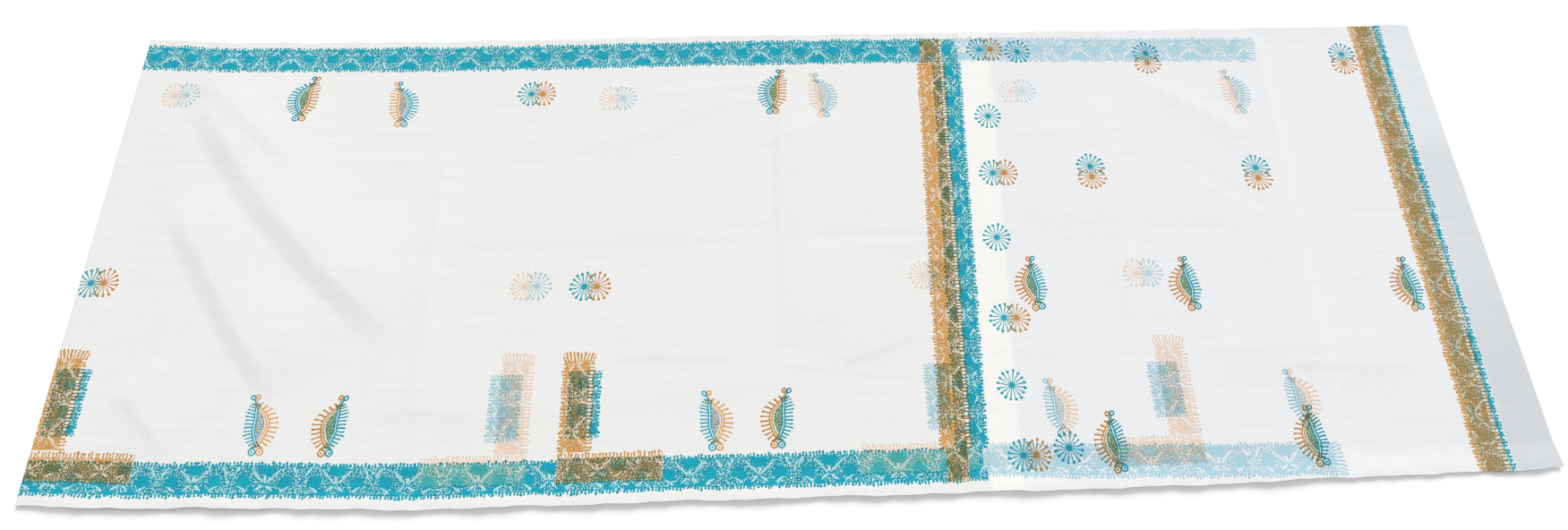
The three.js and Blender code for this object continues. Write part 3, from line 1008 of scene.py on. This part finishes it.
def bead_ink(n, along, past_rim, opening):
    """The beads on short stalks along a band's two rims, set in on the side that opens in lashes."""
    place = along / BAND_BEAD
    count = place.maths("FLOOR")
    bead_x = (place.maths("FRACT") - 0.7 + n.random(count + 50.0) * 0.4) * BAND_BEAD
    reach = n.random(count) * 0.0044 - 0.0008
    bead = n.length(bead_x, past_rim + 0.0042 - reach)
    bead = n.ramp(bead + n.random(count + 20.0) * 0.0010, *BEAD_ROUND)
    stalk = both(n.ramp(abs(bead_x), *STALK_STROKE), n.ramp(past_rim - reach, -0.0050, -0.0062))
    return either(bead, both(stalk, n.ramp(past_rim + opening, -0.0090, -0.0080)))


def lashed_end(n, ink, across, inside, past_rim):
    """The ink with its band's ends turned to ragged strokes that fan out."""
    place = across / (n.ramp(inside, END_LASH, 0.0) * END_FANS + 1.0) / END_STROKE
    aside = abs(place.maths("FRACT") - 0.5) * END_STROKE
    ragged = inside - n.random(place.maths("FLOOR")) * 0.0050
    strokes = both(n.ramp(aside, *END_STROKE_WIDTH), n.ramp(ragged, 0.0, 0.0010))
    strokes = both(strokes, n.ramp(past_rim, 0.0, -0.0010))
    return ink + (strokes - ink) * n.ramp(inside, END_LASH, END_LASH * 0.7)


def band_ink(n, name, solid, tint, lash):
    """The ink, the solid petals and the covered ground of the printed bands under one attribute."""
    along, across, inside = n.attribute(name)
    along, across = hand_cut(n, along, across, *BAND_STRAYS)
    side = abs((along / BAND_REPEAT + 0.5).maths("FRACT") - 0.5) * BAND_REPEAT
    petals = reduce(either, [petal(n, side, across, *row) for row in PETALS])
    leaves = reduce(either, [vein(n, side, across, *row) for row in LEAVES])
    distance, dot_x, dot_y = n.dots(along, across, BAND_DOT, 0.72)
    size = n.random(dot_x * 7000.0 + dot_y * 3000.0) * 0.20 + 0.150
    size = size + n.ramp(abs(across), 0.006, 0.028) * 0.06 + petal(n, side, across, *DAISY) * 0.07
    pale_dots = n.ramp(distance - (size - petals * solid), 0.06, -0.05)
    ink = 1.0 - either(pale_dots, leaves) * (1.0 - tint)
    scallop = abs((along * (4 * math.pi / BAND_REPEAT)).maths("SINE")) * BAND_SCALLOP
    past_rim = abs(across) - BAND_HALF - scallop
    opening = n.ramp(across, -0.001, 0.001) * lash
    ink = both(ink, n.ramp(past_rim + opening, -0.0054, -0.0074))
    ink = lashed_end(n, either(ink, bead_ink(n, along, past_rim, opening)), across, inside, past_rim)
    body = both(n.ramp(past_rim, -0.0040, -0.0060), n.ramp(inside, 0.0, 0.0010))
    return ink, both(petals, body), body


def cotton_tone(n, u, v, weave):
    """The cloth's colour: its body, the paler strip past the cross band, the pallu, and an end margin that
    grows darker towards the near edge.
    """
    middle = v - WOVEN_WIDTH / 2

    def past(line, spare, low, high):
        return n.ramp(u - middle * line[1] - line[0] - spare, low, high)

    tone = n.mix(past(CROSS_TEAL, BAND_HALF, 0.0, 0.006), BODY_WHITE, STRIP_WHITE)
    tone = n.mix(past(SEAM_LINE, 0.0, -0.022, -0.006), tone, PALLU_WHITE)
    # The end margin grows darker in two steps towards the near edge.
    darkening = n.ramp(v, 0.82, 0.72) * 0.55 + n.ramp(v, 0.50, 0.20) * 0.45
    margin = n.mix(darkening, MARGIN_WHITE, MARGIN_DARKER_NEAR)
    tone = n.mix(past(END_TEAL, BAND_HALF, -0.004, 0.006), tone, margin)
    return n.mix((0.66 - weave) * 0.16, tone, SLUB_GREY)


def printed_colour(n, uv, plain):
    """The plain cloth with both layers' prints on it, faded or fresh, and the two dyes' overlaps."""
    teal_strength, orange_strength, _ = n.attribute("band_strength")
    teal_band, teal_petals, in_teal = band_ink(n, "teal_band", *TEAL_CUT)
    orange_band, orange_petals, in_orange = band_ink(n, "orange_band", *ORANGE_CUT)
    teal_band = teal_band * teal_strength
    orange_band = orange_band * orange_strength
    teal_fresh = teal_strength > FRESH_FROM
    orange_fresh = orange_strength > FRESH_FROM
    teal_motif, orange_motif = motif_inks(n, "motif")
    teal_hidden, orange_hidden = motif_inks(n, "hidden_motif")
    wear = n.ramp(n.noise(uv, 26.0, 3.0), 0.28, 0.62) * 0.08 + 0.92
    teal = either(teal_band * teal_fresh, teal_motif) * wear
    orange = either(orange_band * orange_fresh, orange_motif * ORANGE_MOTIF_DEPTH) * wear
    teal_faded = either(teal_band * (1.0 - teal_fresh), teal_hidden)
    orange_faded = either(orange_band * (1.0 - orange_fresh), orange_hidden * HIDDEN_MOTIF_ORANGE)
    teal_dye = n.mix(teal_petals, TEAL_LINE, TEAL_SOLID)
    orange_dye = n.mix(orange_petals, ORANGE_LINE, ORANGE_SOLID)
    overprint = both(in_teal, in_orange) * both(teal_strength, orange_strength)
    teal_alone = teal * (1.0 - overprint * (1.0 - teal_petals * 0.2))
    printed = n.mix(orange_faded, plain, orange_dye)
    printed = n.mix(teal_faded, printed, teal_dye)
    printed = n.mix(teal_faded * orange_faded, printed, OLIVE_DYE)
    printed = n.dyed(printed, orange_dye, orange)
    printed = n.dyed(printed, teal_dye, teal_alone)
    deep = n.ramp(n.noise(uv, 38.0, 1.0), 0.42, 0.62) * 0.6
    over_dye = n.mix(deep, OLIVE_DYE, DEEP_DYE)
    return n.mix(either(teal, overprint * 0.62) * orange, printed, over_dye)


def cloth_material(name):
    """Fine plain-woven cotton with its block print, built once and copied for each further stretch."""
    for built in bpy.data.materials:
        if built.name.endswith("_cotton"):
            further = built.copy()
            further.name = name
            return further
    n = Nodes(name)
    uv = n.add("ShaderNodeUVMap", {"uv_map": "cloth"})
    u, v, _ = n.parts(uv)
    slub_along = n.noise(n.vector(u * 5.0, v * 240.0), 1.0, 2.0)
    slub_across = n.noise(n.vector(u * 240.0, v * 5.0), 1.0, 2.0)
    clouds = n.noise(n.vector(u * 3.0, v * 5.0), 1.0, 2.0)
    weave = slub_along * 0.35 + slub_across * 0.35 + clouds * 0.30
    colour = printed_colour(n, uv, cotton_tone(n, u, v, weave))
    warp = (u * (2 * math.pi / THREAD)).maths("SINE")
    weft = (v * (2 * math.pi / THREAD)).maths("SINE")
    lengthways = abs(n.noise(n.vector(u * 3.5, v * 24.0), 1.0, 3.0) - 0.5)
    crossways = abs(n.noise(n.vector(u * 20.0 + 7.0, v * 3.5), 1.0, 3.0) - 0.5)
    height = warp * weft * THREAD_RISE + weave * SLUB_RISE
    height = height - lengthways * CRUMPLE_ALONG - crossways * CRUMPLE_ACROSS
    bump = n.add("ShaderNodeBump", {}, {"Strength": 1.0, "Distance": 1.0, "Height": height})
    sockets = {
        "Base Color": colour,
        "Roughness": 0.86,
        "Normal": bump,
        "Sheen Weight": 0.02,
        "Sheen Roughness": 0.5,
        "Specular IOR Level": 0.03,
    }
    return n.finish(n.add("ShaderNodeBsdfPrincipled", {}, sockets))


def row_shares(size):
    """The shares of the cloth's width where its rows of cells of about that size begin and end."""
    return np.linspace(0, 1, int(round(WOVEN_WIDTH / size)) + 1)


def grid(begin, stop, share, size, thickness):
    """A flat stretch of cloth from one x to another in each row, in cells of about that size."""
    columns = int(round(float(np.mean(stop - begin)) / size))
    t = np.linspace(0, 1, columns + 1)[:, None]
    x = begin[None, :] + (stop - begin)[None, :] * t
    return flat_layer(x, np.broadcast_to(share, x.shape).copy(), thickness)


class SareeSettings(bpy.types.PropertyGroup):
    """The sizes of the cloth's mesh and the stage that a user would change."""

    cell: bpy.props.FloatProperty(
        name="Cell", description="Size of the upper cloth's mesh cells", default=0.008, unit="LENGTH"
    )
    under_cell: bpy.props.FloatProperty(
        name="Under cell", description="Size of the hidden cloth's mesh cells", default=0.016, unit="LENGTH"
    )
    thickness: bpy.props.FloatProperty(
        name="Thickness", description="Thickness of the cloth", default=0.0006, unit="LENGTH"
    )
    sun_height: bpy.props.FloatProperty(
        name="Light height",
        description="Angle of the main light over the surface",
        default=math.radians(32),
        subtype="ANGLE",
    )
    sun_strength: bpy.props.FloatProperty(
        name="Light strength", description="Strength of the main light", default=2.4
    )
    sky_strength: bpy.props.FloatProperty(
        name="Fill strength", description="Strength of the light from all round", default=0.68
    )
    floor_white: bpy.props.FloatVectorProperty(
        name="Floor colour",
        description="Colour of the plain floor",
        default=(0.93, 0.93, 0.93),
        subtype="COLOR",
    )


class SAREE_OT_body(bpy.types.Operator):
    """The upper layer from its fold to the seam past the cross band."""

    bl_idname = "saree.body"
    bl_label = "Body cloth"

    def execute(self, context):
        s = context.scene.saree
        share = row_shares(s.cell)
        fold_end = np.full_like(share, LEFT_END + FOLD_RADIUS)
        flat = grid(fold_end, on_line(SEAM_LINE, share), share, s.cell, s.thickness)
        layer = fold_layer(share, s.thickness).joined(flat)
        piece = cloth_object("body_cloth", layer, True, cloth_material("body_cotton"))
        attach(piece, "root")
        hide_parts("body_stretch")
        return {"FINISHED"}


class SAREE_OT_pallu(bpy.types.Operator):
    """The upper layer from the seam to its free end."""

    bl_idname = "saree.pallu"
    bl_label = "Pallu cloth"

    def execute(self, context):
        s = context.scene.saree
        share = row_shares(s.cell)
        free_end = np.full_like(share, RIGHT_END)
        layer = grid(on_line(SEAM_LINE, share), free_end, share, s.cell, s.thickness)
        piece = cloth_object("pallu_cloth", layer, True, cloth_material("pallu_cotton"))
        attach(piece, "root")
        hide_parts("pallu_stretch")
        return {"FINISHED"}


class SAREE_OT_under(bpy.types.Operator):
    """The hidden layer, which shows as a thin line at the edges."""

    bl_idname = "saree.under"
    bl_label = "Under cloth"

    def execute(self, context):
        s = context.scene.saree
        share = row_shares(s.under_cell)
        fold_end = np.full_like(share, LEFT_END + FOLD_RADIUS + FOLD_RETURN + 2 * RIM_IN)
        layer = grid(fold_end, on_line(UNDER_END_LINE, share), share, s.under_cell, s.thickness)
        upper_rise = np.maximum(layer.outer[..., 2] - WALL - LAYERS_HEIGHT, 0)
        layer.outer[..., 2] = UNDER_TOP + UNDER_FOLLOWS * upper_rise
        layer.inner[..., 2] = layer.outer[..., 2] - s.thickness
        x = layer.outer[..., 0]
        peek_from, peek_over, peek_to, back_over, tucked, peek_out = UNDER_PEEK
        peek = smooth((x - peek_from) / peek_over) * smooth((peek_to - x) / back_over)
        out = (tucked + peek_out * peek) * smooth(1 - layer.from_near / UNDER_PEEK_IN)
        for points in (layer.outer, layer.inner):
            points[..., 1] -= out
        piece = cloth_object("under_cloth", layer, False, cloth_material("under_cotton"))
        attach(piece, "root")
        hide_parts("under_layers")
        return {"FINISHED"}


class SAREE_OT_stage(bpy.types.Operator):
    """The plain floor, the soft light and the camera."""

    bl_idname = "saree.stage"
    bl_label = "Stage"

    def execute(self, context):
        s = context.scene.saree
        mesh = bpy.data.meshes.new("floor")
        corners = [(x * FLOOR_REACH, y * FLOOR_REACH, 0) for x, y in ((-1, -1), (1, -1), (1, 1), (-1, 1))]
        mesh.from_pydata(corners, [], [(0, 1, 2, 3)])
        n = Nodes("floor_paper")
        sockets = {"Base Color": (*s.floor_white, 1.0), "Roughness": 0.9}
        shader = n.add("ShaderNodeBsdfPrincipled", {}, sockets)
        mesh.materials.append(n.finish(shader))
        floor = bpy.data.objects.new("floor", mesh)
        floor.location.z = -FLOOR_BELOW
        context.scene.collection.objects.link(floor)

        light = bpy.data.lights.new("window", "SUN")
        light.energy = s.sun_strength
        light.angle = math.radians(SUN_WIDTH)
        sun = bpy.data.objects.new("window", light)
        sun.rotation_euler = (math.radians(90) - s.sun_height, 0, math.radians(SUN_TURN))
        context.scene.collection.objects.link(sun)

        world = context.scene.world or bpy.data.worlds.new("sky")
        context.scene.world = world
        world.use_nodes = True
        background = world.node_tree.nodes["Background"]
        background.inputs["Color"].default_value = (1.0, 1.0, 1.0, 1.0)
        background.inputs["Strength"].default_value = s.sky_strength
        context.scene.view_settings.view_transform = "Standard"

        lens = bpy.data.cameras.new("camera")
        lens.lens = CAMERA_LENS
        lens.sensor_width = SENSOR_WIDTH
        camera = bpy.data.objects.new("camera", lens)
        camera.location = CAMERA_PLACE
        camera.rotation_euler = [math.radians(a) for a in CAMERA_TURN]
        context.scene.collection.objects.link(camera)
        context.scene.camera = camera
        return {"FINISHED"}


class SAREE_PT_panel(bpy.types.Panel):
    """Lists the saree's pieces and settings."""

    bl_label = "Saree"
    bl_space_type = "VIEW_3D"
    bl_region_type = "UI"
    bl_category = "Saree"

    def draw(self, context):
        for name in SareeSettings.__annotations__:
            self.layout.prop(context.scene.saree, name)
        for operator in (SAREE_OT_under, SAREE_OT_body, SAREE_OT_pallu, SAREE_OT_stage):
            self.layout.operator(operator.bl_idname)


CLASSES = (SareeSettings, SAREE_OT_under, SAREE_OT_body, SAREE_OT_pallu, SAREE_OT_stage, SAREE_PT_panel)


def register():
    """Registers the classes and the scene's settings."""
    for item in CLASSES:
        bpy.utils.register_class(item)
    bpy.types.Scene.saree = bpy.props.PointerProperty(type=SareeSettings)


def unregister():
    """Takes the classes and the settings away again."""
    del bpy.types.Scene.saree
    for item in reversed(CLASSES):
        bpy.utils.unregister_class(item)


def main():
    """Builds the saree and its stage."""
    register()
    bpy.ops.saree.under()
    bpy.ops.saree.body()
    bpy.ops.saree.pallu()
    bpy.ops.saree.stage()


if __name__ == "__main__":
    main()
